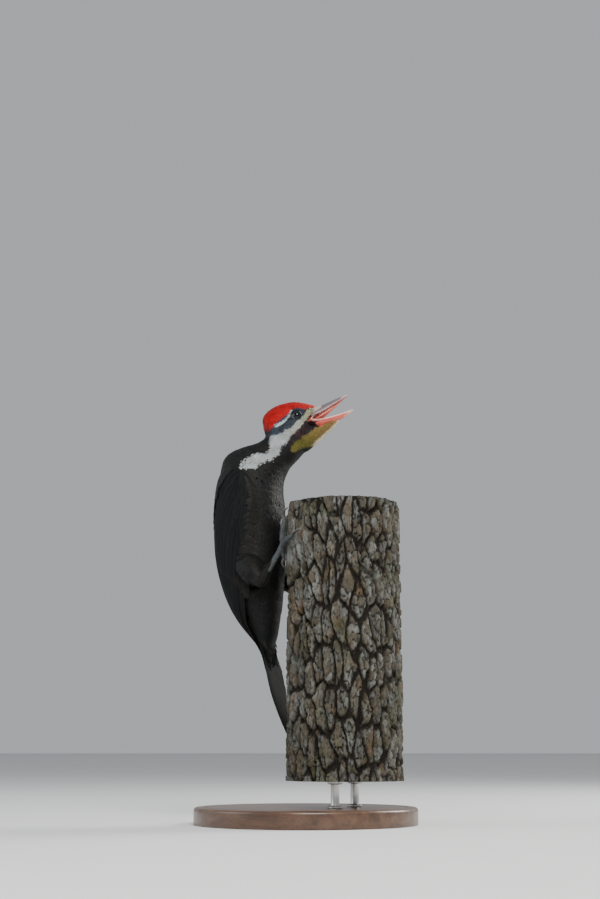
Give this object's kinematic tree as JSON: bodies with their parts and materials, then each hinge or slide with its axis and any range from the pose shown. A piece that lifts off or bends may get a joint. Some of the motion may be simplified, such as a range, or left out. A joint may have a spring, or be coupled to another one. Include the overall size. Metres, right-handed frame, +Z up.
{
  "type": "young pileated woodpecker on a log perch",
  "caption": "Life-size still model of a young pileated woodpecker clinging to a short cut log, bill open, neck stretched up and forward, on a round display stand",
  "frame": {"origin": "Centre of the underside of the round stand base, on the floor.", "axes": "+Z is up. +X is the way the bird's trunk faces, towards the log. +Y is the bird's left. The head is turned 25 degrees to the bird's left."},
  "size_m": [0.21, 0.21, 0.4174],
  "materials": {
    "body_plumage": "matte",
    "head_plumage": "matte",
    "bill_horn": "satin",
    "bill_pale": "satin",
    "mouth_pink": "satin",
    "eye_dark": "gloss",
    "leg_scale": "matte",
    "claw_horn": "satin",
    "bark": "matte",
    "base_wood": "satin",
    "rod_metal": "satin"
  },
  "bodies": {
    "root": {"bill_lower": "bill_pale", "bill_upper": "bill_horn", "claw_left_1": "claw_horn", "claw_left_2": "claw_horn", "claw_left_3": "claw_horn", "claw_left_4": "claw_horn", "claw_right_1": "claw_horn", "claw_right_2": "claw_horn", "claw_right_3": "claw_horn", "claw_right_4": "claw_horn", "eye_left": "eye_dark", "eye_right": "eye_dark", "foot_left": "leg_scale", "foot_right": "leg_scale", "head": "head_plumage", "leg_left": "body_plumage", "leg_right": "body_plumage", "neck": "body_plumage", "perch_log": "bark", "stand_base": "base_wood", "stand_rod_1": "rod_metal", "stand_rod_2": "rod_metal", "tail": "body_plumage", "tongue": "mouth_pink", "torso": "body_plumage", "wing_left": "body_plumage", "wing_right": "body_plumage"}
  },
  "joints": []
}
